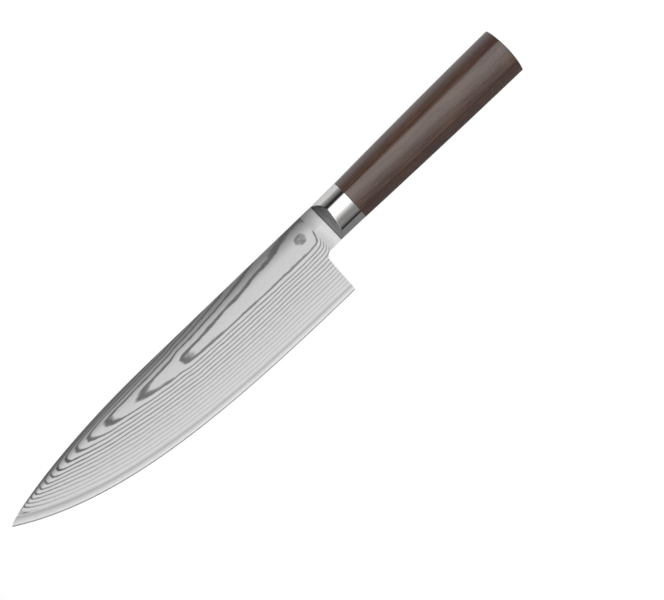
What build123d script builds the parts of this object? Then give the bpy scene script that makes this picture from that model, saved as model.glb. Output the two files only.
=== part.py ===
from build123d import *
from math import exp
import os

# Chef's knife with a three-layer clad blade, a steel bolster and a one-piece
# wooden handle on a hidden tang.
# X runs along the knife (tip at -X, butt at +X), Z is up (spine up, edge down),
# Y is the thickness (the ridge of the grip is on the -Y side).
# The origin lies on the grip's axis where the bolster meets the handle.
# All sizes are in millimetres.

os.makedirs("parts", exist_ok=True)

# ---- overall sizes
blade_length = 203.0
blade_height = 44.8
neck_height = 22.2
neck_length = 7.2
bolster_length = 16.5
handle_length = 107.3

# ---- blade outline
heel_to_weld = 4.6
heel_lean = 0.7
choil_radius = 4.0
heel_corner_radius = 1.2
spine_crown = 0.3
tip_drop = 0.3
spine_curve_share = 0.49
spine_flat_share = 0.29
tip_nose_rise = 2.6
belly_tip_share = 0.235
belly_tip_drop_share = 0.885
belly_heel_share = 0.43

# ---- blade thickness
core_thickness = 0.66
blade_thickness = 2.2
spine_thickness = 1.75
taper_start_share = 0.044
taper_share = 0.17
thinnest_share = 0.06
ridge_height_tip = 5.2
ridge_height_heel = 1.2
core_strip_tip = 5.8
core_strip_heel = 3.5
bevel_height = 0.6
bevel_thickness = 0.3
edge_land = 0.05
blade_stations = 14
section_margin = 4.0

# ---- grip section: left is the ridged side, right the plain oval one
grip_left = 9.5
grip_right = 9.1
grip_ridge_height = 4.1
ridge_radius = 0.8
grip_top_fullness = 0.8
grip_top_fall = 0.8
facet_crown = 0.4
facet_foot_inset = 3.2
facet_foot_drop = 7.7
facet_foot_radius = 0.8
bottom_fullness = 3.6
chamfer_depth = 5.2

# ---- how the handle grows towards the butt
front_swell = 0.2
butt_swell_top = 2.0
butt_swell_bottom = 1.6
butt_ridge_rise = 1.3
butt_widening = 1.0
middle_share = 0.64
middle_ridge_share = 0.2
butt_dome = 1.5
butt_edge_taper = 18.0

# ---- tang, nut and end cap
tang_height = 12.0
tang_thickness = 2.0
stud_diameter = 5.0
stud_length = 14.0
nut_across_flats = 8.0
nut_length = 6.0
nut_bore_diameter = 10.5
cap_thickness = 3.0
cap_rim = 3.5
fit_clearance = 0.1

# ---- places along the knife
bolster_front = -bolster_length
weld_x = bolster_front - neck_length
heel_x = weld_x - heel_to_weld
tip_x = heel_x - blade_length
spine_z = neck_height / 2
edge_z = spine_z + spine_crown - blade_height
cap_x = handle_length - cap_thickness
stud_x = cap_x - stud_length
nut_x = cap_x - nut_length

# ---- room for the tang
slot_thickness = tang_thickness + 2 * fit_clearance
slot_height = tang_height + 2 * fit_clearance
from_front = (Align.MIN, Align.CENTER, Align.CENTER)


# ---- blade outline, seen from the side
def draw_belly():
    run = blade_length * belly_tip_share
    drop = (edge_z + tip_drop) * belly_tip_drop_share
    return Bezier(
        (tip_x, -tip_drop),
        (tip_x + run, drop - tip_drop),
        (heel_x - blade_length * belly_heel_share, edge_z),
        (heel_x, edge_z),
    )


def draw_spine():
    crown = spine_z + spine_crown
    curve_end = tip_x + blade_length * spine_curve_share
    flat_start = curve_end - blade_length * spine_flat_share
    Bezier(
        (tip_x, -tip_drop),
        (tip_x, tip_nose_rise - tip_drop),
        (flat_start, crown),
        (curve_end, crown),
    )
    Line((curve_end, crown), (bolster_front, spine_z))


with BuildSketch(Plane.XZ) as side_outline:
    with BuildLine():
        draw_belly()
        draw_spine()
        Polyline(
            (bolster_front, spine_z),
            (bolster_front, -spine_z),
            (heel_x + heel_lean, -spine_z),
            (heel_x, edge_z),
        )
    make_face()
    choil_corner = side_outline.vertices().sort_by_distance((heel_x, -spine_z))[0]
    fillet(choil_corner, choil_radius)
    heel_corner = side_outline.vertices().sort_by_distance((heel_x, edge_z))[0]
    fillet(heel_corner, heel_corner_radius)

with BuildLine(Plane.XZ) as belly_line:
    belly = draw_belly()


# ---- blade sections: where they stand, and how low the edge is there
slope_at_tip = belly % 0
before_tip = (tip_x - section_margin, -tip_drop - section_margin * slope_at_tip.Z / slope_at_tip.X)
along_belly = [belly @ (step / blade_stations) for step in range(blade_stations + 1)]
stations = [before_tip] + [(point.X, point.Z) for point in along_belly] + [(weld_x, edge_z)]


def section_face(x, points):
    with BuildSketch(Plane.YZ.offset(x)) as section:
        with BuildLine():
            Polyline(*points, close=True)
        make_face()
    return section.sketch


def blade_share(x):
    return min(max((x - tip_x) / blade_length, 0), 1)


def strip_height(x):
    return core_strip_heel + (core_strip_tip - core_strip_heel) * (1 - blade_share(x)) ** 3


def taper(x):
    beyond = (blade_share(x) - taper_start_share) / taper_share
    return max(1 - exp(-beyond), thinnest_share)


def core_section(x, low):
    top = spine_z + section_margin
    half = [
        (core_thickness / 2, top),
        (core_thickness / 2, low + strip_height(x)),
        (bevel_thickness / 2, low + bevel_height),
        (edge_land / 2, low),
        (edge_land / 2, low - section_margin),
    ]
    other_half = [(-y, z) for y, z in reversed(half)]
    return section_face(x, half + other_half)


def cladding_half(x, low):
    crown = spine_z + spine_crown
    inner = core_thickness / 2
    at_ridge = inner + (blade_thickness / 2 - inner) * taper(x)
    at_spine = inner + (spine_thickness / 2 - inner) * taper(x)
    ridge_z = ridge_height_tip + (ridge_height_heel - ridge_height_tip) * blade_share(x)
    return [
        (inner, low + strip_height(x)),
        (at_ridge, ridge_z),
        (at_spine, crown),
        (at_spine, crown + section_margin),
        (inner, crown + section_margin),
    ]


def cladding_section(x, low, side):
    return section_face(x, [(side * y, z) for y, z in cladding_half(x, low)])


def cut_to_outline(reach):
    with BuildSketch(Plane.XZ) as side_view:
        add(side_outline.sketch_local)
    extrude(side_view.sketch, amount=reach, both=True, mode=Mode.INTERSECT)


# ---- blade: hard core sheet that carries the edge
with BuildPart() as blade_core:
    loft([core_section(x, low) for x, low in stations], ruled=True)
    cut_to_outline(blade_thickness)
blade_core.part.label = "blade_core"
export_step(blade_core.part, "parts/blade_core.step")

# ---- blade: layered steel forge-welded to each side of the core
with BuildPart() as cladding_left:
    loft([cladding_section(x, low, -1) for x, low in stations], ruled=True)
    cut_to_outline(blade_thickness)
cladding_left.part.label = "cladding_left"
export_step(cladding_left.part, "parts/cladding_left.step")

with BuildPart() as cladding_right:
    loft([cladding_section(x, low, 1) for x, low in stations], ruled=True)
    cut_to_outline(blade_thickness)
cladding_right.part.label = "cladding_right"
export_step(cladding_right.part, "parts/cladding_right.step")


# ---- tang: plain steel welded behind the blade, neck, bar and threaded stud in one
with BuildPart() as tang:
    with BuildSketch(Plane.YZ.offset(weld_x)):
        with BuildLine():
            right_half = cladding_half(heel_x, edge_z)[:-1]
            left_half = [(-y, z) for y, z in reversed(right_half)]
            Polyline(*right_half, *left_half, close=True)
        make_face()
    extrude(amount=neck_length)
    cut_to_outline(blade_thickness)
    with Locations((bolster_front, 0, 0)):
        Box(stud_x - bolster_front, tang_thickness, tang_height, align=from_front)
    with BuildSketch(Plane.YZ.offset(stud_x)):
        Circle(stud_diameter / 2)
    extrude(amount=stud_length)
tang.part.label = "tang"
export_step(tang.part, "parts/tang.step")


# ---- grip section, shared by bolster, handle and end cap
def grip_section(x, top, bottom, widen, ridge_z, soft):
    left = grip_left + widen
    right = grip_right + widen
    ridge = (-left, ridge_z)
    foot = (-left + facet_foot_inset, -facet_foot_drop - widen / 2)
    with BuildSketch(Plane.YZ.offset(x)) as section:
        with BuildLine():
            Bezier((0, top), (-left * grip_top_fullness, top - grip_top_fall), ridge)
            SagittaArc(ridge, foot, facet_crown)
            Bezier(foot, (-bottom_fullness, bottom), (0, bottom))
            EllipticalCenterArc((0, (top + bottom) / 2), right, (top - bottom) / 2, start_angle=-90, arc_size=180)
        make_face()
        fillet(section.vertices().sort_by_distance(ridge)[0], soft)
        fillet(section.vertices().sort_by_distance(foot)[0], facet_foot_radius)
    return section


joint_z = spine_z + front_swell
joint_ridge = grip_ridge_height + front_swell
butt_top = joint_z + butt_swell_top
butt_bottom = -joint_z - butt_swell_bottom
butt_ridge = joint_ridge + butt_ridge_rise
middle_top = joint_z + butt_swell_top * middle_share
middle_bottom = -joint_z - butt_swell_bottom * middle_share
middle_ridge = joint_ridge + butt_ridge_rise * middle_ridge_share
middle_widening = butt_widening * middle_share

front_section = grip_section(bolster_front, spine_z, -spine_z, 0, grip_ridge_height, ridge_radius)
joint_section = grip_section(0, joint_z, -joint_z, 0, joint_ridge, ridge_radius)
middle_section = grip_section(
    handle_length / 2, middle_top, middle_bottom, middle_widening, middle_ridge, ridge_radius * 2
)
butt_section = grip_section(
    handle_length - butt_dome, butt_top, butt_bottom, butt_widening, butt_ridge, ridge_radius * 2
)
cap_section = grip_section(
    cap_x,
    butt_top - cap_rim,
    butt_bottom + cap_rim,
    butt_widening - cap_rim,
    butt_ridge - cap_rim / 2,
    ridge_radius,
)

# ---- bolster: steel collar, its front ground to two slanting faces
with BuildPart() as bolster:
    loft([front_section.sketch, joint_section.sketch])
    with BuildSketch(Plane.XY) as front_waste:
        reach = grip_left + grip_right
        slant = chamfer_depth * (reach - blade_thickness / 2) / (grip_left - blade_thickness / 2)
        with BuildLine():
            Polyline(
                (bolster_front, blade_thickness / 2),
                (bolster_front + slant, reach),
                (bolster_front, reach),
                close=True,
            )
        make_face()
        mirror(about=Plane.XZ)
    extrude(amount=neck_height, both=True, mode=Mode.SUBTRACT)
    with Locations((bolster_front, 0, 0)):
        Box(bolster_length, slot_thickness, slot_height, align=from_front, mode=Mode.SUBTRACT)
bolster.part.label = "bolster"
export_step(bolster.part, "parts/bolster.step")


# ---- rounded butt, shared by handle and end cap
butt_half = (butt_top - butt_bottom) / 2
dome_radius = (butt_half**2 + butt_dome**2) / (2 * butt_dome)


def cut_to_dome():
    with Locations((handle_length - dome_radius, 0, 0)):
        Sphere(dome_radius, mode=Mode.INTERSECT)


# ---- handle: one block of resin-laminated wood, slotted for the tang
with BuildPart() as handle:
    extrude(butt_section.sketch, amount=butt_dome, taper=butt_edge_taper)
    cut_to_dome()
    loft([joint_section.sketch, middle_section.sketch, butt_section.sketch])
    Box(stud_x, slot_thickness, slot_height, align=from_front, mode=Mode.SUBTRACT)
    with BuildSketch(Plane.YZ.offset(stud_x)):
        Circle(stud_diameter / 2 + fit_clearance)
    extrude(amount=stud_length, mode=Mode.SUBTRACT)
    with BuildSketch(Plane.YZ.offset(nut_x)):
        Circle(nut_bore_diameter / 2)
    extrude(amount=nut_length, mode=Mode.SUBTRACT)
    extrude(cap_section.sketch, amount=cap_thickness, mode=Mode.SUBTRACT)
handle.part.label = "handle"
export_step(handle.part, "parts/handle.step")

# ---- nut that draws the handle up against the bolster
with BuildPart() as tang_nut:
    with BuildSketch(Plane.YZ.offset(nut_x)):
        RegularPolygon(nut_across_flats / 2, 6, major_radius=False)
        Circle(stud_diameter / 2, mode=Mode.SUBTRACT)
    extrude(amount=nut_length)
tang_nut.part.label = "tang_nut"
export_step(tang_nut.part, "parts/tang_nut.step")

# ---- end cap: steel plate let into the butt, domed with it
with BuildPart() as end_cap:
    extrude(cap_section.sketch, amount=cap_thickness)
    cut_to_dome()
end_cap.part.label = "end_cap"
export_step(end_cap.part, "parts/end_cap.step")
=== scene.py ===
import math

import bmesh
import bpy
import numpy as np
from mathutils import Matrix, Vector


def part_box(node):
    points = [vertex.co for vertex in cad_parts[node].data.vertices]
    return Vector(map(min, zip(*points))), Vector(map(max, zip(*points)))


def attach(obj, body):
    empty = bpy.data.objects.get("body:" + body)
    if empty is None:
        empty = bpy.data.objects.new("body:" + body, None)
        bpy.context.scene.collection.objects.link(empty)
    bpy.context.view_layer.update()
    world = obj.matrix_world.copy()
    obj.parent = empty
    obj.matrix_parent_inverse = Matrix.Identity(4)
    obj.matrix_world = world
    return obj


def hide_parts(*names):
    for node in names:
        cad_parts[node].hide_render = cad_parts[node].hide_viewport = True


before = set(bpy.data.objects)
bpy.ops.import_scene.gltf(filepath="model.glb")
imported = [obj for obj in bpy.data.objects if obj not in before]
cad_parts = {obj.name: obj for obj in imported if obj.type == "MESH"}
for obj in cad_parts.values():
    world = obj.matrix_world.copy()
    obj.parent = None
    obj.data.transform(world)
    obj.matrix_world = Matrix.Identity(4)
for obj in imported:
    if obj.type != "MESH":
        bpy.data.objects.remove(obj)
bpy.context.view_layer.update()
mm = 0.001

# Blade sides, left and right. Soft and hard stainless steels are forge-welded in thin flat
# layers on each face of a hard core, then ground to a wedge and etched, so that every layer
# shows as a dark line where the grind crosses it. One Geometry Nodes tree makes both sides.
side_low, side_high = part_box("cladding_left")
core_low, core_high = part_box("blade_core")
core_half = core_high[1]
tip_x, weld_x = core_low[0], core_high[0]
edge_z, crown_z = core_low[2], core_high[2]
heel_to_weld = 4.6 * mm
heel_x = weld_x - heel_to_weld
blade_length = heel_x - tip_x
neck_top, neck_foot = 11.13 * mm, -11.1 * mm
tip_z = -0.3 * mm
tip_nose = 2.6 * mm
choil_radius = 4.0 * mm
heel_lean = 0.7 * mm
strip_at_tip, strip_at_heel = 5.8 * mm, 3.5 * mm
spine_pull, crown_share = 0.20, 0.49
belly_pull, belly_drop, heel_pull = 0.235, 0.885, 0.43
lean_at_choil = 0.85
outline_steps = 401
layer_count = 15.0
clad_thickness = side_high[1] - side_low[1] - 0.005 * mm
forward_columns, heel_columns, side_rows = 260, 24, 44


def add(tree, kind, sockets=(), **settings):
    """Adds a node to a tree: settings are its properties, sockets its values and links."""
    made = tree.nodes.new(kind)
    for name, value in settings.items():
        setattr(made, name, value)
    for key, value in dict(sockets).items():
        if isinstance(value, bpy.types.NodeSocket):
            tree.links.new(value, made.inputs[key])
        else:
            made.inputs[key].default_value = value
    return made


def bezier(points, t):
    """The point at t on a cubic curve, and the rest of the curve from there on."""
    left = [Vector(p) for p in points]
    tail = []
    while left:
        tail.insert(0, left[-1])
        left = [a.lerp(b, t) for a, b in zip(left, left[1:])]
    return tail[0], tail


def strip_height(x):
    """How much of the core shows above the cutting edge, widest at the tip."""
    share = min(max((x - tip_x) / blade_length, 0.0), 1.0)
    return strip_at_heel + (strip_at_tip - strip_at_heel) * (1 - share) ** 3


spine_curve = [
    (tip_x, 0, tip_z),
    (tip_x, 0, tip_z + tip_nose),
    (tip_x + blade_length * spine_pull, 0, crown_z),
    (tip_x + blade_length * crown_share, 0, crown_z),
]
belly_curve = [
    (tip_x, 0, tip_z),
    (tip_x + blade_length * belly_pull, 0, (edge_z - tip_z) * belly_drop + tip_z),
    (heel_x - blade_length * heel_pull, 0, edge_z),
    (heel_x, 0, edge_z),
]
steps = np.linspace(0, 1, outline_steps)
spine_points = [bezier(spine_curve, t)[0] for t in steps]
belly_points = [bezier(belly_curve, t)[0] for t in steps]
spine_x, spine_z = [p.x for p in spine_points], [p.z for p in spine_points]
boundary_points = [p + Vector((0, 0, strip_height(p.x))) for p in belly_points]
covered = 0.4 * mm
first = next(
    i for i, p in enumerate(boundary_points) if p.z < np.interp(p.x, spine_x, spine_z) - covered
)
spine_start = next(t for t, x in zip(steps, spine_x) if x >= boundary_points[first].x)


def straight(a, b):
    """A straight run from a to b as one cubic curve."""
    a, b = Vector(a), Vector(b)
    return [a, a.lerp(b, 1 / 3), a.lerp(b, 2 / 3), b]


def draw_paths(name, paths):
    """Each path is a list of cubic curves end to end; each becomes one spline.

    A long path is already made of short straight runs, so its runs aren't divided again.
    """
    curve = bpy.data.curves.new(name, "CURVE")
    curve.dimensions = "3D"
    for cubics in paths:
        spline = curve.splines.new("BEZIER")
        spline.resolution_u = 64 if len(cubics) < 4 else 1
        spline.bezier_points.add(len(cubics))
        for i, point in enumerate(spline.bezier_points):
            before = cubics[i - 1] if i else None
            after = cubics[i] if i < len(cubics) else None
            point.co = after[0] if after else before[3]
            point.handle_left = before[2] if before else point.co
            point.handle_right = after[1] if after else point.co
    made = bpy.data.objects.new(name, curve)
    bpy.context.scene.collection.objects.link(made)
    return made


boundary_run = [straight(a, b) for a, b in zip(boundary_points[first:], boundary_points[first + 1 :])]
heel_top = Vector((heel_x, 0, neck_top))
weld_top = Vector((weld_x, 0, neck_top))
boundary_end = boundary_points[-1]
choil_start = Vector((heel_x + heel_lean * lean_at_choil, 0, neck_foot - choil_radius))
choil_corner = Vector((heel_x + heel_lean, 0, neck_foot))
choil_end = Vector((weld_x, 0, neck_foot))
round_in = 0.55
choil = [
    choil_start,
    choil_start.lerp(choil_corner, round_in),
    choil_end.lerp(choil_corner, round_in),
    choil_end,
]
side_paths = [
    [bezier(spine_curve, spine_start)[1], straight(spine_points[-1], heel_top)],
    boundary_run,
    [straight(heel_top, weld_top)],
    [straight(boundary_end, choil_start), choil],
]


def linear(hex_colour):
    """sRGB hex to the linear colour that shaders take."""
    channels = [int(hex_colour[i : i + 2], 16) / 255 for i in (1, 3, 5)]
    return [c / 12.92 if c <= 0.04045 else ((c + 0.055) / 1.055) ** 2.4 for c in channels] + [1]


# Two steels etched apart over a bead-blasted satin: the carbon-rich layers go dark grey and a
# little rough, the nickel-bearing ones stay pale. The etch bites least down by the core, and
# the spine band is painted darker, a painted shade for the spine's rounded shoulder.
layered_steel = bpy.data.materials.new("etched_layered_stainless_steel")
layered_steel.use_nodes = True
tree = layered_steel.node_tree
shader = tree.nodes["Principled BSDF"]
place = add(tree, "ShaderNodeTexCoord").outputs["Object"]
spot = add(tree, "ShaderNodeSeparateXYZ", {0: place}).outputs
share = add(tree, "ShaderNodeAttribute", attribute_name="height_share").outputs["Fac"]
depth = add(tree, "ShaderNodeMath", {0: spot[1]}, operation="ABSOLUTE").outputs[0]
layers = add(
    tree, "ShaderNodeMapRange",
    {0: depth, 1: core_half, 2: core_half + clad_thickness, 3: 0.0, 4: layer_count}, clamp=False,
).outputs[0]
for along, across, sway in ((45.0, 210.0, 0.66), (330.0, 1100.0, 0.18)):
    stretched = add(tree, "ShaderNodeMapping", {0: place, 3: (along, along, across)}).outputs[0]
    waver = add(tree, "ShaderNodeTexNoise", {0: stretched, 2: 1.0, 3: 2.0, 4: 0.5}).outputs["Fac"]
    waver = add(
        tree, "ShaderNodeMath", {0: waver, 1: sway, 2: -sway / 2}, operation="MULTIPLY_ADD"
    ).outputs[0]
    layers = add(tree, "ShaderNodeMath", {0: layers, 1: waver}, operation="ADD").outputs[0]
turn = add(tree, "ShaderNodeMath", {0: layers, 1: 2 * math.pi}, operation="MULTIPLY").outputs[0]
wave = add(tree, "ShaderNodeMath", {0: turn}, operation="COSINE").outputs[0]
dark_layer = add(
    tree, "ShaderNodeMapRange", {0: wave, 1: 0.05, 2: 1.0}, interpolation_type="SMOOTHSTEP"
).outputs[0]
# Each layer took the etch a little differently.
one_layer = add(
    tree, "ShaderNodeTexNoise", {1: layers, 2: 1.7, 3: 1.0}, noise_dimensions="1D"
).outputs["Fac"]
one_layer = add(tree, "ShaderNodeMapRange", {0: one_layer, 1: 0.3, 2: 0.7, 3: 0.72, 4: 1.0}).outputs[0]
bite = add(tree, "ShaderNodeMapRange", {0: share, 1: 0.0, 2: 0.72, 3: 0.23, 4: 1.0}).outputs[0]
dark_layer = add(tree, "ShaderNodeMath", {0: dark_layer, 1: bite}, operation="MULTIPLY").outputs[0]
dark_layer = add(tree, "ShaderNodeMath", {0: dark_layer, 1: one_layer}, operation="MULTIPLY").outputs[0]
tone = add(
    tree, "ShaderNodeMix", {0: dark_layer, 6: linear("#e0e0e0"), 7: linear("#6c6c6d")}, data_type="RGBA"
).outputs[2]
# Painted shade: towards the spine the tone is mixed to dark grey, standing in for the shade of the spine's
# rounded shoulder.
skin = add(
    tree, "ShaderNodeMapRange", {0: share, 1: 0.76, 2: 0.985, 3: 0.0, 4: 0.8},
    interpolation_type="SMOOTHSTEP",
).outputs[0]
tone = add(tree, "ShaderNodeMix", {0: skin, 6: tone, 7: linear("#6a6a6b")}, data_type="RGBA").outputs[2]
blasted = add(tree, "ShaderNodeTexNoise", {0: place, 2: 2600.0, 3: 2.0}).outputs["Fac"]
speckle = add(tree, "ShaderNodeMapRange", {0: blasted, 1: 0.3, 2: 0.7, 3: 0.95, 4: 1.04}).outputs[0]
tone = add(tree, "ShaderNodeVectorMath", {0: tone, 3: speckle}, operation="SCALE").outputs[0]
tree.links.new(tone, shader.inputs["Base Color"])
shader.inputs["Metallic"].default_value = 1.0
rough = add(tree, "ShaderNodeMapRange", {0: dark_layer, 3: 0.34, 4: 0.5}).outputs[0]
tree.links.new(rough, shader.inputs["Roughness"])
relief = add(
    tree, "ShaderNodeMath", {0: blasted, 1: 0.25, 2: dark_layer}, operation="MULTIPLY_ADD"
).outputs[0]
etched = add(tree, "ShaderNodeBump", {0: 0.25, 1: 0.012 * mm, 3: relief}, invert=True).outputs[0]
tree.links.new(etched, shader.inputs["Normal"])


# How many layers the grind cuts through, along the blade and up its side. Places are from the
# tip, shares are of the side's height, and the eye near the heel uncovers one more layer.
run, start = 33.0 * mm, 8.9 * mm
layers_far_back = 14.2
last_layer_from, last_layer_to, last_layer_depth = 112 * mm, 119.5 * mm, 0.42
least_cut = 0.12
ridge_from, ridge_to = 20 * mm, 117 * mm
ridge_share_tip, ridge_share_back = 0.90, 0.735
rise_end, rise_softness = 0.86, 0.14
spine_roundness = 1.7
drop_from, drop_to = 90 * mm, 212 * mm
drop_tip, drop_back = -0.36, -0.03
curl_length = 1.5 * mm
eye_from_weld, eye_height = 7.6 * mm, 3.4 * mm
eye_along, eye_up = 3.6 * mm, 3.0 * mm
eye_depth = 0.8
left_on_top = 0.10


def layered_side_tree():
    """The tree of one blade side: two panels between curves, raised layer by layer."""
    tree = bpy.data.node_groups.new("layered_blade_side", "GeometryNodeTree")
    face = tree.interface
    face.new_socket("Paths", in_out="INPUT", socket_type="NodeSocketGeometry")
    for name in (
        "Side", "Core half thickness", "Cladding thickness", "Layers", "Tip", "Weld",
        "Boundary height", "Spine height", "Eye place", "Eye height",
    ):
        face.new_socket(name, in_out="INPUT", socket_type="NodeSocketFloat")
    face.new_socket("Steel", in_out="INPUT", socket_type="NodeSocketMaterial")
    face.new_socket("Side", in_out="OUTPUT", socket_type="NodeSocketGeometry")
    given = add(tree, "NodeGroupInput").outputs
    sums = "ShaderNodeMath"
    place = add(tree, "GeometryNodeInputPosition").outputs[0]
    panels = []
    for columns, upper, lower in ((forward_columns, 0, 1), (heel_columns, 2, 3)):
        grid = add(tree, "GeometryNodeMeshGrid", {0: 1.0, 1: 1.0, 2: columns, 3: side_rows}).outputs[0]
        flat = add(tree, "ShaderNodeSeparateXYZ", {0: place}).outputs
        along = add(tree, sums, {0: flat[0], 1: 0.5}, operation="ADD").outputs[0]
        up = add(tree, sums, {0: flat[1], 1: 0.5}, operation="ADD").outputs[0]
        kept = add(
            tree, "GeometryNodeStoreNamedAttribute", {0: grid, 2: "height_share", 3: up},
            data_type="FLOAT", domain="POINT",
        ).outputs[0]
        ends = []
        for index in (lower, upper):
            point = add(
                tree, "GeometryNodeSampleCurve", {0: given[0], "Factor": along, "Curve Index": index},
                mode="FACTOR",
            )
            ends.append(point.outputs["Position"])
        ruled = add(tree, "ShaderNodeMix", {0: up, 4: ends[0], 5: ends[1]}, data_type="VECTOR").outputs[1]
        panels.append(add(tree, "GeometryNodeSetPosition", {0: kept, 2: ruled}).outputs[0])
    spot = add(tree, "ShaderNodeSeparateXYZ", {0: place}).outputs
    level = add(
        tree, "ShaderNodeMapRange", {0: spot[2], 1: given["Boundary height"], 2: given["Spine height"]}
    ).outputs[0]
    panels[1] = add(
        tree, "GeometryNodeStoreNamedAttribute", {0: panels[1], 2: "height_share", 3: level},
        data_type="FLOAT", domain="POINT",
    ).outputs[0]
    joined = add(tree, "GeometryNodeJoinGeometry")
    for panel in panels:
        tree.links.new(panel, joined.inputs[0])
    flat_side = add(tree, "GeometryNodeMergeByDistance", {0: joined.outputs[0], 2: 0.01 * mm}).outputs[0]

    # How many layers are cut through at each point: fast near the tip, level further back.
    from_tip = add(tree, sums, {0: spot[0], 1: given["Tip"]}, operation="SUBTRACT").outputs[0]
    cut = add(tree, sums, {0: from_tip, 1: -1 / run, 2: start / run}, operation="MULTIPLY_ADD").outputs[0]
    cut = add(tree, sums, {0: cut}, operation="EXPONENT").outputs[0]
    cut = add(tree, sums, {0: 1.0, 1: cut}, operation="SUBTRACT").outputs[0]
    cut = add(tree, sums, {0: cut, 1: layers_far_back}, operation="MULTIPLY").outputs[0]
    last_layer = add(
        tree, "ShaderNodeMapRange",
        {0: from_tip, 1: last_layer_from, 2: last_layer_to, 4: last_layer_depth},
        interpolation_type="SMOOTHSTEP",
    ).outputs[0]
    cut = add(tree, sums, {0: cut, 1: last_layer}, operation="ADD").outputs[0]
    cut = add(tree, sums, {0: cut, 1: least_cut}, operation="MAXIMUM").outputs[0]
    # The grind rises straight from the core to a soft ridge and falls away to the spine.
    share = add(tree, "GeometryNodeInputNamedAttribute", {0: "height_share"}, data_type="FLOAT").outputs[0]
    ridge = add(
        tree, "ShaderNodeMapRange",
        {0: from_tip, 1: ridge_from, 2: ridge_to, 3: ridge_share_tip, 4: ridge_share_back},
        interpolation_type="SMOOTHSTEP",
    ).outputs[0]
    rise = add(tree, sums, {0: share, 1: ridge}, operation="DIVIDE").outputs[0]
    rise = add(tree, sums, {0: rise, 1: rise_end}, operation="DIVIDE").outputs[0]
    rise = add(tree, sums, {0: rise, 1: 1.0, 2: rise_softness}, operation="SMOOTH_MIN").outputs[0]
    over = add(tree, "ShaderNodeMapRange", {0: share, 1: ridge, 2: 1.0}).outputs[0]
    over = add(tree, sums, {0: over, 1: spine_roundness}, operation="POWER").outputs[0]
    drop = add(
        tree, "ShaderNodeMapRange",
        {0: from_tip, 1: drop_from, 2: drop_to, 3: drop_tip, 4: drop_back},
        interpolation_type="SMOOTHSTEP",
    ).outputs[0]
    fall = add(tree, sums, {0: over, 1: drop, 2: 1.0}, operation="MULTIPLY_ADD").outputs[0]
    # By the weld the wheel lifted off, so the lines curl up there.
    to_weld = add(tree, sums, {0: spot[0], 1: given["Weld"]}, operation="SUBTRACT").outputs[0]
    dip = add(tree, sums, {0: to_weld, 1: 1 / curl_length}, operation="MULTIPLY").outputs[0]
    dip = add(tree, sums, {0: dip}, operation="EXPONENT").outputs[0]
    curl = add(tree, "ShaderNodeMapRange", {0: share, 1: 0.62, 2: 0.80, 3: -0.12, 4: -0.012}).outputs[0]
    dip = add(tree, sums, {0: dip, 1: curl, 2: 1.0}, operation="MULTIPLY_ADD").outputs[0]
    for factor in (rise, fall, dip):
        cut = add(tree, sums, {0: cut, 1: factor}, operation="MULTIPLY").outputs[0]
    # The eye: one spot near the heel where the next dark layer was uncovered.
    eye = add(tree, "ShaderNodeCombineXYZ", {0: given["Eye place"], 2: given["Eye height"]}).outputs[0]
    away = add(tree, "ShaderNodeVectorMath", {0: place, 1: eye}, operation="SUBTRACT").outputs[0]
    away = add(
        tree, "ShaderNodeVectorMath", {0: away, 1: (1 / eye_along, 0.0, 1 / eye_up)},
        operation="MULTIPLY",
    ).outputs[0]
    away = add(tree, "ShaderNodeVectorMath", {0: away, 1: away}, operation="DOT_PRODUCT").outputs[1]
    away = add(tree, sums, {0: away, 1: -1.0}, operation="MULTIPLY").outputs[0]
    eye = add(tree, sums, {0: away}, operation="EXPONENT").outputs[0]
    cut = add(tree, sums, {0: eye, 1: eye_depth, 2: cut}, operation="MULTIPLY_ADD").outputs[0]
    deepest = add(tree, sums, {0: given["Layers"], 1: left_on_top}, operation="SUBTRACT").outputs[0]
    cut = add(tree, sums, {0: cut, 1: deepest}, operation="MINIMUM").outputs[0]
    cut = add(tree, sums, {0: cut, 1: given["Layers"]}, operation="DIVIDE").outputs[0]
    cut = add(tree, sums, {0: cut, 1: given["Cladding thickness"]}, operation="MULTIPLY").outputs[0]

    inner = add(
        tree, sums, {0: given["Core half thickness"], 1: given["Side"]}, operation="MULTIPLY"
    ).outputs[0]
    on_core = add(tree, "ShaderNodeCombineXYZ", {1: inner}).outputs[0]
    back = add(tree, "GeometryNodeSetPosition", {0: flat_side, 3: on_core}).outputs[0]
    lifted = add(tree, "GeometryNodeExtrudeMesh", {0: back, 3: 0.0, 4: False}, mode="FACES").outputs
    outward = add(tree, sums, {0: cut, 1: given["Side"]}, operation="MULTIPLY").outputs[0]
    outward = add(tree, "ShaderNodeCombineXYZ", {1: outward}).outputs[0]
    ground = add(
        tree, "GeometryNodeSetPosition", {0: lifted["Mesh"], 1: lifted["Top"], 3: outward}
    ).outputs[0]
    shell = add(tree, "GeometryNodeJoinGeometry")
    tree.links.new(add(tree, "GeometryNodeFlipFaces", {0: back}).outputs[0], shell.inputs[0])
    tree.links.new(ground, shell.inputs[0])
    closed = add(tree, "GeometryNodeMergeByDistance", {0: shell.outputs[0], 2: 0.001 * mm}).outputs[0]
    real = add(tree, "GeometryNodeRealizeInstances", {0: closed}).outputs[0]
    done = add(tree, "GeometryNodeSetMaterial", {0: real, 2: given["Steel"]}).outputs[0]
    tree.links.new(done, add(tree, "NodeGroupOutput").inputs[0])
    return tree


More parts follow.
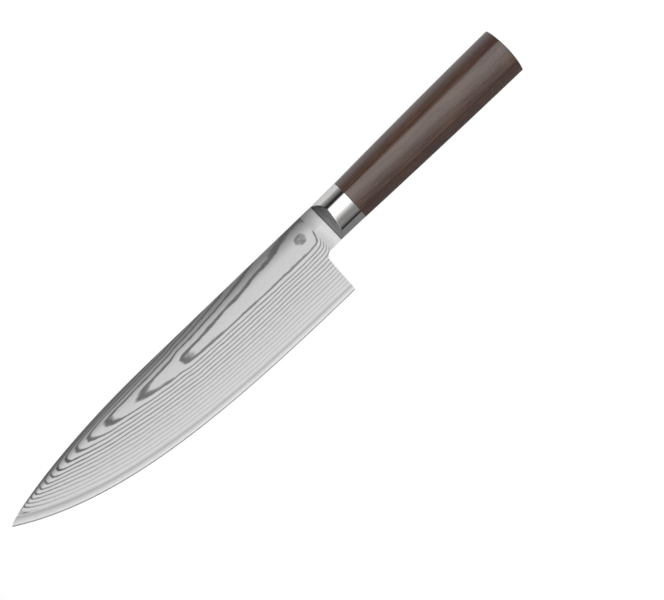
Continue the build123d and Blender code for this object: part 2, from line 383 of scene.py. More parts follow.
def finish_mesh(piece, sharp_degrees, material=None):
    """Closes a mesh's doubles, points its faces out and smooths all but its sharp edges."""
    shape = bmesh.new()
    shape.from_mesh(piece.data)
    bmesh.ops.remove_doubles(shape, verts=shape.verts, dist=0.002 * mm)
    bmesh.ops.dissolve_degenerate(shape, dist=0.0005 * mm, edges=shape.edges)
    bmesh.ops.recalc_face_normals(shape, faces=shape.faces)
    shape.to_mesh(piece.data)
    shape.free()
    piece.data.shade_smooth()
    piece.data.set_sharp_from_angle(angle=math.radians(sharp_degrees))
    if material:
        piece.data.materials.append(material)


blade_side = layered_side_tree()
for name, side in (("cladding_left", -1.0), ("cladding_right", 1.0)):
    paths = draw_paths(name + "_paths", side_paths)
    grown = paths.modifiers.new("layers", "NODES")
    grown.node_group = blade_side
    sizes = {
        "Side": side,
        "Core half thickness": core_half,
        "Cladding thickness": clad_thickness,
        "Layers": layer_count,
        "Tip": tip_x,
        "Weld": weld_x,
        "Boundary height": boundary_end[2],
        "Spine height": neck_top,
        "Eye place": weld_x - eye_from_weld,
        "Eye height": eye_height,
        "Steel": layered_steel,
    }
    for socket in blade_side.interface.items_tree:
        if socket.in_out == "INPUT" and socket.name in sizes:
            grown[socket.identifier] = sizes[socket.name]
    seen = paths.evaluated_get(bpy.context.evaluated_depsgraph_get())
    side_mesh = bpy.data.meshes.new_from_object(seen)
    piece = bpy.data.objects.new(name.replace("cladding", "layered_side"), side_mesh)
    bpy.context.scene.collection.objects.link(piece)
    bpy.data.objects.remove(paths)
    finish_mesh(piece, 30)
    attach(piece, "root")
    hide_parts(name)

# Blade core. One sheet of hard stainless steel runs right through the blade; it shows as the
# strip above the edge, ground satin across its width, and as a thin line along the spine.
bevel_height, bevel_half, edge_half = 0.6 * mm, 0.15 * mm, 0.025 * mm
heel_corner = 1.2 * mm
strip_steps, cover_steps = 5, 4
length_steps, tip_crowding, corner_steps, neck_steps = 240, 1.3, 40, 16
choil_centre_share = 0.95


def lowest(x):
    """The underside of the blade at x: belly, rounded heel corner, heel and choil."""
    if x <= heel_x:
        low = np.interp(x, [p.x for p in belly_points], [p.z for p in belly_points])
        into_corner = x - (heel_x - heel_corner)
        if into_corner > 0:
            low += heel_corner - math.sqrt(max(heel_corner**2 - into_corner**2, 0.0))
        return float(low)
    heel = edge_z + heel_corner + (x - heel_x) / heel_lean * (neck_foot - edge_z)
    centre_x = heel_x + heel_lean + choil_radius * choil_centre_share
    across = min(max(centre_x - x, 0.0), choil_radius)
    arc = neck_foot - choil_radius + math.sqrt(max(choil_radius**2 - across**2, 0.0))
    return min(max(heel, edge_z), arc, neck_foot)


def upper(x):
    """The top of the core at x: the spine, then level on to the weld."""
    if x < spine_x[-1]:
        return float(np.interp(x, spine_x, spine_z))
    return float(np.interp(x, [spine_x[-1], weld_x], [crown_z, neck_top]))


def half_thickness(over_edge, strip):
    """Half the core's thickness at a height over the edge: bevel, then the strip's taper."""
    return float(np.interp(over_edge, [0, bevel_height, strip], [edge_half, bevel_half, core_half]))


length_shares = [(i / length_steps) ** tip_crowding for i in range(length_steps)]
core_columns = [tip_x + blade_length * share for share in length_shares]
core_columns = [x for x in core_columns if x < heel_x - heel_corner]
core_columns += list(np.linspace(heel_x - heel_corner, heel_x + heel_lean, corner_steps))
core_columns += list(np.linspace(heel_x + heel_lean, weld_x, neck_steps))[1:]
core_rows = []
for x in core_columns:
    edge = float(np.interp(x, [p.x for p in belly_points], [p.z for p in belly_points]))
    bottom, top, strip = lowest(x), upper(x), strip_height(x)
    strip_shares = range(1, strip_steps + 1)
    levels = [0, bevel_height]
    levels += [bevel_height + (strip - bevel_height) * i / strip_steps for i in strip_shares]
    heights = [min(max(edge + level, bottom), top) for level in levels]
    cover_shares = range(1, cover_steps + 1)
    heights += [heights[-1] + (top - heights[-1]) * i / cover_steps for i in cover_shares]
    core_rows.append([(x, half_thickness(z - edge, strip), z, (z - edge) / strip) for z in heights])
core_points, over_edge, core_faces = [], [], []
columns, rows = len(core_rows), len(core_rows[0])
for side in (-1, 1):
    for column in core_rows:
        for x, half, z, share in column:
            core_points.append((x, side * half, z))
            over_edge.append(share)
other = columns * rows
for i in range(columns - 1):
    for j in range(rows - 1):
        a, b = i * rows + j, (i + 1) * rows + j
        core_faces += [(a, b, b + 1, a + 1), (other + a, other + a + 1, other + b + 1, other + b)]
    for j in (0, rows - 1):
        a, b = i * rows + j, (i + 1) * rows + j
        core_faces.append((a, other + a, other + b, b))
for i in (0, columns - 1):
    for j in range(rows - 1):
        a = i * rows + j
        core_faces.append((a, a + 1, other + a + 1, other + a))
core_mesh = bpy.data.meshes.new("core_sheet")
core_mesh.from_pydata(core_points, [], core_faces)
edge_shares = core_mesh.attributes.new("over_edge", "FLOAT", "POINT")
edge_shares.data.foreach_set("value", over_edge)
core_piece = bpy.data.objects.new("core_sheet", core_mesh)
bpy.context.scene.collection.objects.link(core_piece)

# Hard stainless steel ground with a fine belt square to the edge: hairline scratches up the strip,
# painted shade duller by the layers, a painted highlight towards the edge, a painted dark line at it.
core_steel = bpy.data.materials.new("satin_ground_core_steel")
core_steel.use_nodes = True
tree = core_steel.node_tree
shader = tree.nodes["Principled BSDF"]
place = add(tree, "ShaderNodeTexCoord").outputs["Object"]
share = add(tree, "ShaderNodeAttribute", attribute_name="over_edge").outputs["Fac"]
# The ramp up from the edge paints light and shade: a dark line of painted shade at the edge, a painted
# highlight above it, painted shade by the layers.
bands = add(tree, "ShaderNodeValToRGB", {0: share})
stops = (
    (0.0, "#5e5e5e"), (0.07, "#808080"), (0.17, "#e2e2e2"), (0.45, "#d8d8d8"),
    (0.80, "#b6b6b6"), (0.93, "#c0c0c0"), (1.0, "#eeeeee"),
)
for number, (at, colour) in enumerate(stops):
    stop = bands.color_ramp.elements[number] if number < 2 else bands.color_ramp.elements.new(at)
    stop.position = at
    stop.color = linear(colour)
scratch_place = add(tree, "ShaderNodeMapping", {0: place, 3: (3300.0, 3300.0, 120.0)}).outputs[0]
scratches = add(tree, "ShaderNodeTexNoise", {0: scratch_place, 2: 1.0, 3: 3.0}).outputs["Fac"]
sheen = add(tree, "ShaderNodeMapRange", {0: scratches, 1: 0.3, 2: 0.7, 3: 0.93, 4: 1.05}).outputs[0]
tone = add(tree, "ShaderNodeVectorMath", {0: bands.outputs[0], 3: sheen}, operation="SCALE").outputs[0]
tree.links.new(tone, shader.inputs["Base Color"])
shader.inputs["Metallic"].default_value = 1.0
rough = add(tree, "ShaderNodeMapRange", {0: scratches, 1: 0.3, 2: 0.7, 3: 0.26, 4: 0.4}).outputs[0]
tree.links.new(rough, shader.inputs["Roughness"])
scored = add(tree, "ShaderNodeBump", {0: 0.2, 1: 0.01 * mm, 3: scratches}).outputs[0]
tree.links.new(scored, shader.inputs["Normal"])
finish_mesh(core_piece, 25, core_steel)
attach(core_piece, "root")
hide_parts("blade_core")

# Tang. A plain steel bar welded behind the blade: its neck shows between blade and bolster,
# the rest is hidden in the handle and ends in a thread with a hexagonal nut.
# Satin steel wheeled along the neck: soft grey sheen, with painted shade a little darker up by the spine
# and by the weld, lighter towards the bolster.
neck_steel = bpy.data.materials.new("satin_neck_steel")
neck_steel.use_nodes = True
tree = neck_steel.node_tree
shader = tree.nodes["Principled BSDF"]
place = add(tree, "ShaderNodeTexCoord").outputs["Object"]
spot = add(tree, "ShaderNodeSeparateXYZ", {0: place}).outputs
# Painted shade: the tone darkens up towards the spine.
heights = add(tree, "ShaderNodeMapRange", {0: spot[2], 1: -6 * mm, 2: neck_top}).outputs[0]
bands = add(tree, "ShaderNodeValToRGB", {0: heights})
stops = ((0.0, "#e4e4e4"), (0.45, "#ebebeb"), (0.78, "#bebebe"), (1.0, "#8e8e8e"))
for number, (at, colour) in enumerate(stops):
    stop = bands.color_ramp.elements[number] if number < 2 else bands.color_ramp.elements.new(at)
    stop.position = at
    stop.color = linear(colour)
# Painted shade by the weld, lighter towards the bolster.
along = add(
    tree, "ShaderNodeMapRange", {0: spot[0], 1: weld_x, 2: weld_x + 5 * mm, 3: 0.86, 4: 1.04}
).outputs[0]
clouds = add(tree, "ShaderNodeTexNoise", {0: place, 2: 300.0, 3: 3.0}).outputs["Fac"]
clouds = add(tree, "ShaderNodeMapRange", {0: clouds, 1: 0.3, 2: 0.7, 3: 0.96, 4: 1.03}).outputs[0]
along = add(tree, "ShaderNodeMath", {0: along, 1: clouds}, operation="MULTIPLY").outputs[0]
tone = add(tree, "ShaderNodeVectorMath", {0: bands.outputs[0], 3: along}, operation="SCALE").outputs[0]
tree.links.new(tone, shader.inputs["Base Color"])
shader.inputs["Metallic"].default_value = 1.0
wheel = add(tree, "ShaderNodeMapping", {0: place, 3: (150.0, 2500.0, 3000.0)}).outputs[0]
wheel = add(tree, "ShaderNodeTexNoise", {0: wheel, 2: 1.0, 3: 2.0}).outputs["Fac"]
rough = add(tree, "ShaderNodeMapRange", {0: wheel, 1: 0.3, 2: 0.7, 3: 0.28, 4: 0.42}).outputs[0]
tree.links.new(rough, shader.inputs["Roughness"])
for name in ("tang", "tang_nut"):
    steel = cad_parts[name].data
    steel.materials.clear()
    steel.materials.append(neck_steel)

# Bolster. A solid steel collar, milled to the grip's section, its front ground to two faces
# that slant back from the neck, all corners just broken and the sides mirror polished.
front_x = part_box("bolster")[0][0]
half_height = 11.1 * mm
joint_half = 11.3 * mm
collar_thickness = 2.2 * mm
chamfer_depth = 5.2 * mm
left_reach, right_reach = 9.5 * mm, 9.1 * mm
ridge_at_front, ridge_at_joint = 4.1 * mm, 4.3 * mm
corner_break = 0.28 * mm
steel_ridge_soft = 0.5 * mm
crest_reach, crest_sink = 0.8, 0.8 * mm
facet_crown = 0.4 * mm
foot_inset, foot_drop, foot_soft = 3.2 * mm, 7.7 * mm, 0.5 * mm
belly_reach = 3.6 * mm
run_points, bend_points = 300, 60


def curve_points(points, count):
    """Points along a quadratic curve, without its last one."""
    a, b, c = (np.array(p, dtype=float) for p in points)
    t = np.linspace(0, 1, count, endpoint=False)[:, None]
    return a * (1 - t) ** 2 + b * 2 * t * (1 - t) + c * t**2


def bowed(a, b, crown, count):
    """Points on a shallow arc from a to b that bulges away from the grip's axis."""
    a, b = np.array(a, dtype=float), np.array(b, dtype=float)
    out = np.array([b[1] - a[1], a[0] - b[0]])
    out = out / np.linalg.norm(out)
    return curve_points((a, (a + b) / 2 + out * crown * 2, b), count)


def eased(before, after, reach, count):
    """Two runs that meet at a corner, the corner rounded off over reach on each side."""
    corner = after[0]
    from_corner = np.linalg.norm(before - corner, axis=1)
    to_corner = np.linalg.norm(after - corner, axis=1)
    start = before[from_corner > reach][-1]
    end = after[to_corner > reach][0]
    bend = curve_points((start, corner, end), count)
    return before[from_corner > reach][:-1], bend, after[to_corner > reach]


def resample(points, count):
    """The same run as count points at even distances, without its last one."""
    gone = np.concatenate([[0], np.cumsum(np.linalg.norm(np.diff(points, axis=0), axis=1))])
    wanted = np.linspace(0, gone[-1], count, endpoint=False)
    return np.column_stack([np.interp(wanted, gone, points[:, k]) for k in (0, 1)])


def grip_outline(top, bottom, widen, ridge_z, ridge_reach):
    """The grip's section: oval on the right, a soft ridge and a flat facet on the left."""
    left, right = left_reach + widen, right_reach + widen
    ridge = (-left, ridge_z)
    foot = (-left + foot_inset, -foot_drop - widen / 2)
    crest = curve_points([(0, top), (-left * crest_reach, top - crest_sink), ridge], run_points)
    facet = bowed(ridge, foot, facet_crown, run_points)
    belly = curve_points([foot, (-belly_reach, bottom), (0, bottom)], run_points)
    crest, ridge_bend, facet = eased(crest, facet, ridge_reach, bend_points)
    facet, foot_bend, belly = eased(facet, belly, foot_soft, bend_points)
    turn = np.linspace(-math.pi / 2, math.pi / 2, 64, endpoint=False)
    middle, tall = (top + bottom) / 2, (top - bottom) / 2
    oval = np.column_stack([right * np.cos(turn), middle + tall * np.sin(turn)])
    runs = [(crest, ridge_bend[:1], 44), (ridge_bend, facet[:1], 12), (facet, foot_bend[:1], 26)]
    runs += [(foot_bend, belly[:1], 12), (belly, oval[:1], 26)]
    return np.vstack([resample(np.vstack([run, join]), count) for run, join, count in runs] + [oval])


def ring(x, outline):
    """The outline as points in space at x."""
    return np.column_stack([np.broadcast_to(x, len(outline)), outline])


def skin(name, rings):
    """A closed body through rings of points, the first and last closed to their middles."""
    count = len(rings[0])
    points = [tuple(p) for loop in rings for p in loop]
    faces = []
    for level in range(len(rings) - 1):
        for i in range(count):
            j = (i + 1) % count
            a, b = level * count, (level + 1) * count
            faces.append((a + i, a + j, b + j, b + i))
    for level in (0, len(rings) - 1):
        points.append((float(np.mean(rings[level][:, 0])), 0.0, 0.0))
        base, middle = level * count, len(points) - 1
        faces += [(base + i, base + (i + 1) % count, middle) for i in range(count)]
    mesh = bpy.data.meshes.new(name)
    mesh.from_pydata(points, [], faces)
    made = bpy.data.objects.new(name, mesh)
    bpy.context.scene.collection.objects.link(made)
    return made


front_outline = grip_outline(half_height, -half_height, 0, ridge_at_front, steel_ridge_soft)
joint_outline = grip_outline(joint_half, -joint_half, 0, ridge_at_joint, steel_ridge_soft)
slope = chamfer_depth / (left_reach - collar_thickness / 2)
depth = np.maximum(np.abs(front_outline[:, 0]) - collar_thickness / 2, 0.0) * slope
back_share = (depth / -front_x)[:, None]
corner = np.column_stack([front_x + depth, front_outline * (1 - back_share) + joint_outline * back_share])
strip_y = np.clip(front_outline[:, 0], -collar_thickness / 2, collar_thickness / 2)
inner = np.column_stack([np.full(len(depth), front_x), strip_y, front_outline[:, 1]])
span = np.maximum(np.linalg.norm(corner - inner, axis=1), 1e-9)[:, None]
on_face = corner + (inner - corner) * np.minimum(corner_break / span, 0.5)
on_skin = corner + np.array([corner_break, 0, 0])
# Rings just off the corner on both sides keep its rounding from spreading over the faces.
off_corner = corner_break * 1.2
near_corner = corner + (inner - corner) * np.minimum(off_corner / span, 0.6)
collar_rings = [inner, near_corner, on_face, on_face * 0.25 + corner * 0.5 + on_skin * 0.25, on_skin]
collar_rings.append(corner + np.array([off_corner, 0, 0]))
for share in (0.25, 0.5, 0.75, 1.0):
    x = on_skin[:, 0] * (1 - share)
    along = (1 - x / front_x)[:, None]
    collar_rings.append(np.column_stack([x, front_outline * (1 - along) + joint_outline * along]))
collar = skin("bolster_collar", collar_rings)

# Stainless steel buffed to a mirror: clean bright and dark bands with soft edges, a trace of
# buffing haze and hairlines along its length. The two slanting front faces are painted darker
# grey as a painted dark reflection, darkest by painted shade in the crease at the neck.
mirror_steel = bpy.data.materials.new("buffed_stainless_steel")
mirror_steel.use_nodes = True
tree = mirror_steel.node_tree
shader = tree.nodes["Principled BSDF"]
place = add(tree, "ShaderNodeTexCoord").outputs["Object"]
hair = add(tree, "ShaderNodeMapping", {0: place, 3: (60.0, 2400.0, 2400.0)}).outputs[0]
hair = add(tree, "ShaderNodeTexNoise", {0: hair, 2: 1.0, 3: 3.0}).outputs["Fac"]
haze = add(tree, "ShaderNodeTexNoise", {0: place, 2: 220.0, 3: 3.0}).outputs["Fac"]
tone = add(
    tree, "ShaderNodeMix", {0: haze, 6: linear("#e2e0df"), 7: linear("#f3f1f0")}, data_type="RGBA"
).outputs[2]
spot = add(tree, "ShaderNodeSeparateXYZ", {0: place}).outputs
out = add(tree, "ShaderNodeMath", {0: spot[1]}, operation="ABSOLUTE").outputs[0]
# Painted dark reflection: the slanting front faces are painted darker than the polished sides.
face_start = front_x - slope * collar_thickness / 2
face_x = add(
    tree, "ShaderNodeMath", {0: out, 1: slope, 2: face_start}, operation="MULTIPLY_ADD"
).outputs[0]
behind = add(tree, "ShaderNodeMath", {0: spot[0], 1: face_x}, operation="SUBTRACT").outputs[0]
ground = add(tree, "ShaderNodeMapRange", {0: behind, 1: 0.02 * mm, 2: 0.12 * mm, 3: 0.5, 4: 1.0}).outputs[0]
# Painted shade darkens the front faces further in the crease by the neck.
painted_crease_shade = add(tree, "ShaderNodeMapRange", {0: out, 1: 1.2 * mm, 2: 2.6 * mm, 3: 0.45, 4: 1.0}).outputs[0]
painted_crease_shade = add(tree, "ShaderNodeMath", {0: painted_crease_shade, 1: ground}, operation="MAXIMUM").outputs[0]
ground = add(tree, "ShaderNodeMath", {0: painted_crease_shade, 1: ground}, operation="MULTIPLY").outputs[0]
tone = add(tree, "ShaderNodeVectorMath", {0: tone, 3: ground}, operation="SCALE").outputs[0]
tree.links.new(tone, shader.inputs["Base Color"])
shader.inputs["Metallic"].default_value = 1.0
rough = add(tree, "ShaderNodeMapRange", {0: hair, 1: 0.3, 2: 0.7, 3: 0.10, 4: 0.17}).outputs[0]
tree.links.new(rough, shader.inputs["Roughness"])
scored = add(tree, "ShaderNodeBump", {0: 0.08, 1: 0.01 * mm, 3: hair}).outputs[0]
tree.links.new(scored, shader.inputs["Normal"])
finish_mesh(collar, 24, mirror_steel)
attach(collar, "root")
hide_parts("bolster")

# Handle. One block of thin wood veneers pressed together with dark resin, milled to the
# grip's section, drilled for the tang, sanded fine and waxed; it swells towards the butt.
butt_dome = 1.5 * mm
butt_top, butt_bottom = 13.3 * mm, -12.9 * mm
dome_half = (butt_top - butt_bottom) / 2
dome_radius = (dome_half**2 + butt_dome**2) / (2 * butt_dome)
butt_tip = 107.3 * mm
body_end = butt_tip - butt_dome
top_swell, bottom_swell, butt_widening = 2.0 * mm, 1.6 * mm, 0.98 * mm
middle_share, middle_ridge_rise = 0.64, 0.26 * mm
ridge_at_butt, wood_ridge_soft = 5.6 * mm, 0.9 * mm
butt_outline = grip_outline(butt_top, butt_bottom, butt_widening, ridge_at_butt, wood_ridge_soft)
middle_outline = grip_outline(
    joint_half + top_swell * middle_share, -joint_half - bottom_swell * middle_share,
    middle_share * mm, ridge_at_joint + middle_ridge_rise, wood_ridge_soft,
)
cap_top, cap_bottom, cap_widening, ridge_at_cap = 9.8 * mm, -9.4 * mm, -2.5 * mm, 3.85 * mm
cap_outline = grip_outline(cap_top, cap_bottom, cap_widening, ridge_at_cap, steel_ridge_soft)
butt_break, butt_corner_pull = 0.55 * mm, 0.1 * mm
seat_gap, seat_depth = 0.04 * mm, 3.0 * mm
joint_break = 0.08 * mm


def on_dome(outline):
    """The outline raised onto the slightly domed butt."""
    across = np.sum(outline**2, axis=1)
    x = butt_tip - dome_radius + np.sqrt(dome_radius**2 - across)
    return np.column_stack([x, outline])


def drawn_in(outline, by):
    """The outline moved in by a distance all round."""
    before, after = np.roll(outline, 1, axis=0), np.roll(outline, -1, axis=0)
    way = after - before
    inward = np.column_stack([-way[:, 1], way[:, 0]]) / np.linalg.norm(way, axis=1)[:, None]
    return outline + inward * by


# From the joint to the butt the section runs through three outlines: joint, middle and butt.
handle_rings = [ring(0.0, drawn_in(joint_outline, joint_break)), ring(joint_break, joint_outline)]
for share in np.linspace(0, 1, 30)[1:]:
    a = 2 * (share - 0.5) * (share - 1)
    b = -4 * share * (share - 1)
    c = 2 * share * (share - 0.5)
    outline = joint_outline * a + middle_outline * b + butt_outline * c
    handle_rings.append(ring(body_end * share, outline))
rim = on_dome(drawn_in(butt_outline, butt_break))
side = ring(body_end, butt_outline)
corner = np.column_stack([on_dome(butt_outline)[:, 0], drawn_in(butt_outline, butt_corner_pull)])
for t in (0.25, 0.5, 0.75, 1.0):
    handle_rings.append(side * (1 - t) ** 2 + corner * 2 * t * (1 - t) + rim * t**2)
seat = drawn_in(cap_outline, -seat_gap)
handle_rings += [on_dome(seat), ring(butt_tip - seat_depth, seat)]
grip = skin("handle_block", handle_rings)

# Resin-pressed hardwood, sanded and waxed: near-black brown with veneers a shade apart, long
# fine fibres and short dark pores along it, warmer and cooler patches, and a low soft sheen.
laminated_wood = bpy.data.materials.new("waxed_resin_laminated_hardwood")
laminated_wood.use_nodes = True
tree = laminated_wood.node_tree
shader = tree.nodes["Principled BSDF"]
place = add(tree, "ShaderNodeTexCoord").outputs["Object"]
spot = add(tree, "ShaderNodeSeparateXYZ", {0: place}).outputs
patches = add(tree, "ShaderNodeMapping", {0: place, 3: (38.0, 90.0, 110.0)}).outputs[0]
patches = add(tree, "ShaderNodeTexNoise", {0: patches, 2: 1.0, 3: 2.0}).outputs["Fac"]
patches = add(tree, "ShaderNodeMapRange", {0: patches, 1: 0.35, 2: 0.65}).outputs[0]
tone = add(
    tree, "ShaderNodeMix", {0: patches, 6: linear("#402e2a"), 7: linear("#49362c")}, data_type="RGBA"
).outputs[2]
sway = add(tree, "ShaderNodeTexNoise", {0: place, 2: 25.0, 3: 1.0}).outputs["Fac"]
veneer_pitch, veneer_sway = 0.9 * mm, 1.2 * mm
veneer = add(
    tree, "ShaderNodeMath", {0: sway, 1: veneer_sway, 2: spot[1]}, operation="MULTIPLY_ADD"
).outputs[0]
veneer = add(
    tree, "ShaderNodeMath", {0: veneer, 1: 2 * math.pi / veneer_pitch}, operation="MULTIPLY"
).outputs[0]
veneer = add(tree, "ShaderNodeMath", {0: veneer}, operation="SINE").outputs[0]
glue = add(tree, "ShaderNodeMapRange", {0: veneer, 1: 0.35, 2: 1.0, 3: 1.0, 4: 0.74}).outputs[0]
fibres = add(tree, "ShaderNodeMapping", {0: place, 3: (70.0, 2300.0, 2300.0)}).outputs[0]
fibres = add(tree, "ShaderNodeTexNoise", {0: fibres, 2: 1.0, 3: 3.0}).outputs["Fac"]
streaks = add(tree, "ShaderNodeMapRange", {0: fibres, 1: 0.3, 2: 0.7, 3: 0.86, 4: 1.10}).outputs[0]
pores = add(tree, "ShaderNodeMapping", {0: place, 3: (260.0, 2800.0, 2800.0)}).outputs[0]
pores = add(tree, "ShaderNodeTexNoise", {0: pores, 2: 1.0, 3: 1.0}).outputs["Fac"]
pores = add(tree, "ShaderNodeMapRange", {0: pores, 1: 0.30, 2: 0.40, 3: 0.68, 4: 1.0}).outputs[0]
shade = add(tree, "ShaderNodeMath", {0: glue, 1: streaks}, operation="MULTIPLY").outputs[0]
shade = add(tree, "ShaderNodeMath", {0: shade, 1: pores}, operation="MULTIPLY").outputs[0]
tone = add(tree, "ShaderNodeVectorMath", {0: tone, 3: shade}, operation="SCALE").outputs[0]
tree.links.new(tone, shader.inputs["Base Color"])
shader.inputs["Specular IOR Level"].default_value = 1.0
rough = add(tree, "ShaderNodeMapRange", {0: fibres, 1: 0.3, 2: 0.7, 3: 0.20, 4: 0.30}).outputs[0]
tree.links.new(rough, shader.inputs["Roughness"])
grain = add(tree, "ShaderNodeMath", {0: pores, 1: fibres}, operation="MULTIPLY").outputs[0]
grain = add(tree, "ShaderNodeBump", {0: 0.3, 1: 0.03 * mm, 3: grain}).outputs[0]
tree.links.new(grain, shader.inputs["Normal"])
finish_mesh(grip, 35, laminated_wood)
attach(grip, "root")
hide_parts("handle")

# End cap. A steel plate let into the butt and ground flush with its dome; it hides the nut.
# Brushed one way after fitting: straight fine lines, its edge just broken.
cap_break = 0.12 * mm
cap_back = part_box("end_cap")[0][0]
cap_inner = drawn_in(cap_outline, cap_break)
cap_edge = on_dome(cap_outline)
cap_rings = [ring(cap_back, cap_outline), cap_edge - np.array([cap_break, 0, 0])]
cap_rings.append(on_dome(cap_inner))
cap_rings += [on_dome(cap_inner * scale) for scale in (0.8, 0.6, 0.4, 0.2, 0.05)]
cap = skin("end_cap_plate", cap_rings)
brushed_steel = bpy.data.materials.new("brushed_stainless_steel")
brushed_steel.use_nodes = True
tree = brushed_steel.node_tree
shader = tree.nodes["Principled BSDF"]
place = add(tree, "ShaderNodeTexCoord").outputs["Object"]
brush = add(tree, "ShaderNodeMapping", {0: place, 3: (2600.0, 3200.0, 60.0)}).outputs[0]
brush = add(tree, "ShaderNodeTexNoise", {0: brush, 2: 1.0, 3: 3.0}).outputs["Fac"]
tone = add(
    tree, "ShaderNodeMix", {0: brush, 6: linear("#b8b7b6"), 7: linear("#e6e5e4")}, data_type="RGBA"
).outputs[2]
tree.links.new(tone, shader.inputs["Base Color"])
shader.inputs["Metallic"].default_value = 1.0
rough = add(tree, "ShaderNodeMapRange", {0: brush, 1: 0.3, 2: 0.7, 3: 0.22, 4: 0.38}).outputs[0]
tree.links.new(rough, shader.inputs["Roughness"])
scored = add(tree, "ShaderNodeBump", {0: 0.2, 1: 0.01 * mm, 3: brush}).outputs[0]
tree.links.new(scored, shader.inputs["Normal"])
finish_mesh(cap, 35, brushed_steel)
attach(cap, "root")
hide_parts("end_cap")

# Floor: a plain sheet of white paper under the knife, running off to the horizon. It glows
# most for the camera and for shiny surfaces, and least for matt ones.
floor_size, floor_z = 40.0, -0.22
corners = [(-1, -1), (1, -1), (1, 1), (-1, 1)]
floor_mesh = bpy.data.meshes.new("floor")
floor_corners = [(a * floor_size, b * floor_size, floor_z) for a, b in corners]
floor_mesh.from_pydata(floor_corners, [], [(0, 1, 2, 3)])
floor = bpy.data.objects.new("floor", floor_mesh)
bpy.context.scene.collection.objects.link(floor)
paper = bpy.data.materials.new("white_paper")
paper.use_nodes = True
tree = paper.node_tree
shader = tree.nodes["Principled BSDF"]
shader.inputs["Base Color"].default_value = linear("#f0f0f0")
shader.inputs["Roughness"].default_value = 1.0
shader.inputs["Specular IOR Level"].default_value = 0.0
shader.inputs["Emission Color"].default_value = (1, 1, 1, 1)
rays = add(tree, "ShaderNodeLightPath").outputs
glow_on_matt, glow_in_camera, extra_on_shiny = 0.1, 0.6, 0.42
lift = add(
    tree, "ShaderNodeMapRange", {0: rays["Is Camera Ray"], 3: glow_on_matt, 4: glow_in_camera}
).outputs[0]
lift = add(
    tree, "ShaderNodeMath", {0: rays["Is Glossy Ray"], 1: extra_on_shiny, 2: lift},
    operation="MULTIPLY_ADD",
).outputs[0]
tree.links.new(lift, shader.inputs["Emission Strength"])
floor_mesh.materials.append(paper)

# Grey card lying on the paper, seen only in the steel and the waxed wood. It glows like a lamp and
# shades off from white in front of the knife to dark underneath it, painted shade in their reflections.
card_near, card_far, card_half = -1.05, 0.60, 1.2
card_lift, card_glow = 0.002, 1.7
card_mesh = bpy.data.meshes.new("grey_card")
card_corners = [(-card_half, card_near), (card_half, card_near), (card_half, card_far)]
card_corners.append((-card_half, card_far))
card_points = [(x, y, floor_z + card_lift) for x, y in card_corners]
card_mesh.from_pydata(card_points, [], [(0, 1, 2, 3)])
card = bpy.data.objects.new("grey_card", card_mesh)
bpy.context.scene.collection.objects.link(card)
card.visible_camera = card.visible_diffuse = card.visible_shadow = False
grey = bpy.data.materials.new("grey_card")
grey.use_nodes = True
tree = grey.node_tree
tree.nodes.remove(tree.nodes["Principled BSDF"])
place = add(tree, "ShaderNodeTexCoord").outputs["Object"]
near = add(tree, "ShaderNodeSeparateXYZ", {0: place}).outputs[1]
near = add(tree, "ShaderNodeMapRange", {0: near, 1: card_near, 2: card_far}).outputs[0]
bands = add(tree, "ShaderNodeValToRGB", {0: near})
bands.color_ramp.interpolation = "EASE"
stops = (
    (0.0, 0.56), (0.05, 1.0), (0.345, 1.0), (0.375, 0.58), (0.405, 0.28), (0.44, 0.12), (0.47, 0.17),
    (0.496, 0.03), (0.515, 0.01), (0.585, 0.01), (0.606, 0.13), (1.0, 0.13),
)
for number, (at, bright) in enumerate(stops):
    stop = bands.color_ramp.elements[number] if number < 2 else bands.color_ramp.elements.new(at)
    stop.position = at
    stop.color = (bright, bright, bright, 1)
glow = add(tree, "ShaderNodeEmission", {0: bands.outputs[0], 1: card_glow})
tree.links.new(glow.outputs[0], tree.nodes["Material Output"].inputs[0])
card_mesh.materials.append(grey)

# Studio: a white room whose brightness changes round the knife's axis, pale in front, dim
# above the camera and bright again behind, and dimmer past the knife's two ends and for matt
# surfaces. Two soft lamps light the wood and don't show in the steel.
world = bpy.data.worlds.new("studio")
bpy.context.scene.world = world
world.use_nodes = True
tree = world.node_tree
direction = add(tree, "ShaderNodeTexCoord").outputs["Generated"]
way = add(tree, "ShaderNodeSeparateXYZ", {0: direction}).outputs
forward = add(tree, "ShaderNodeMath", {0: way[1], 1: -1.0}, operation="MULTIPLY").outputs[0]
turn = add(tree, "ShaderNodeMath", {0: way[2], 1: forward}, operation="ARCTAN2").outputs[0]
turn = add(tree, "ShaderNodeMapRange", {0: turn, 1: -math.pi, 2: math.pi}).outputs[0]
bands = add(tree, "ShaderNodeValToRGB", {0: turn})
bands.color_ramp.interpolation = "EASE"
degrees = (
    (-180, 0.5), (-90, 0.5), (-20, 0.9), (6, 0.88), (16, 0.22), (30, 0.05),
    (46, 0.02), (80, 0.30), (98, 0.72), (140, 0.68), (165, 0.45), (180, 0.36),
)
for number, (angle, bright) in enumerate(degrees):
    at = (angle + 180) / 360
    stop = bands.color_ramp.elements[number] if number < 2 else bands.color_ramp.elements.new(at)
    stop.position = at
    stop.color = (bright, bright, bright, 1)
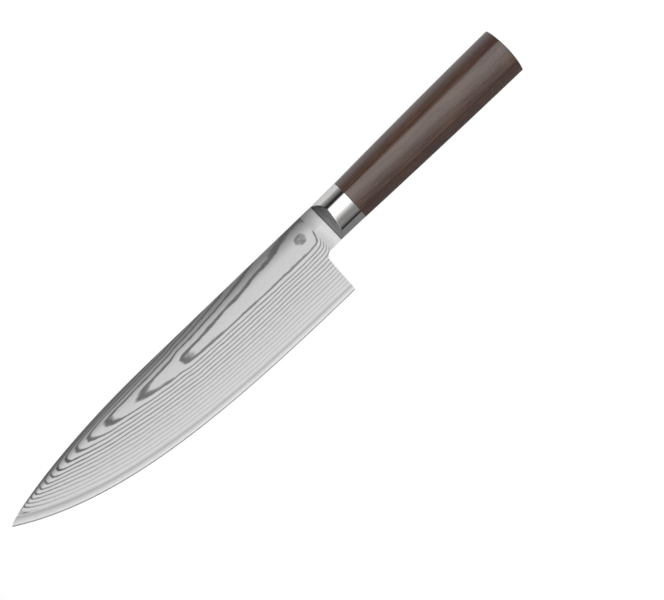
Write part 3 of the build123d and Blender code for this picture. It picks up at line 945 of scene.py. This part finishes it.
ends = add(tree, "ShaderNodeMath", {0: way[0]}, operation="ABSOLUTE").outputs[0]
ends = add(tree, "ShaderNodeMapRange", {0: ends, 1: 0.66, 2: 0.90, 3: 1.0, 4: 0.10}).outputs[0]
rays = add(tree, "ShaderNodeLightPath").outputs
soft = add(tree, "ShaderNodeMapRange", {0: rays["Is Diffuse Ray"], 3: 1.0, 4: 0.45}).outputs[0]
ends = add(tree, "ShaderNodeMath", {0: ends, 1: soft}, operation="MULTIPLY").outputs[0]
tree.links.new(bands.outputs[0], tree.nodes["Background"].inputs[0])
tree.links.new(ends, tree.nodes["Background"].inputs[1])
white = add(tree, "ShaderNodeBackground", {0: (1, 1, 1, 1), 1: 1.0})
room = add(
    tree, "ShaderNodeMixShader",
    {0: rays["Is Camera Ray"], 1: tree.nodes["Background"].outputs[0], 2: white.outputs[0]},
)
tree.links.new(room.outputs[0], tree.nodes["World Output"].inputs[0])
for name, energy, spread, tilt, swing in (
    ("front_softbox", 3.7, 20, 78, -12),
    ("overhead_softbox", 0.4, 60, -10, 0),
):
    softbox = bpy.data.lights.new(name, "SUN")
    softbox.energy = energy
    softbox.angle = math.radians(spread)
    lamp = bpy.data.objects.new(name, softbox)
    bpy.context.scene.collection.objects.link(lamp)
    lamp.rotation_euler = (math.radians(tilt), 0, math.radians(swing))
    lamp.visible_glossy = False

# Camera: level with the knife and square to its side, rolled so that the butt points up.
lens, film_width, seen_width = 120, 36, 0.327
distance = seen_width * lens / film_width
roll = math.radians(44)
right = Vector((math.cos(roll), 0, -math.sin(roll)))
up = Vector((math.sin(roll), 0, math.cos(roll)))
camera_data = bpy.data.cameras.new("camera")
camera_data.lens = lens
camera = bpy.data.objects.new("camera", camera_data)
bpy.context.scene.collection.objects.link(camera)
turned = Matrix((right, up, Vector((0, -1, 0)))).transposed().to_4x4()
camera.matrix_world = Matrix.Translation((-0.0405, -distance, -0.0292)) @ turned
bpy.context.scene.camera = camera
bpy.context.scene.view_settings.view_transform = "Standard"
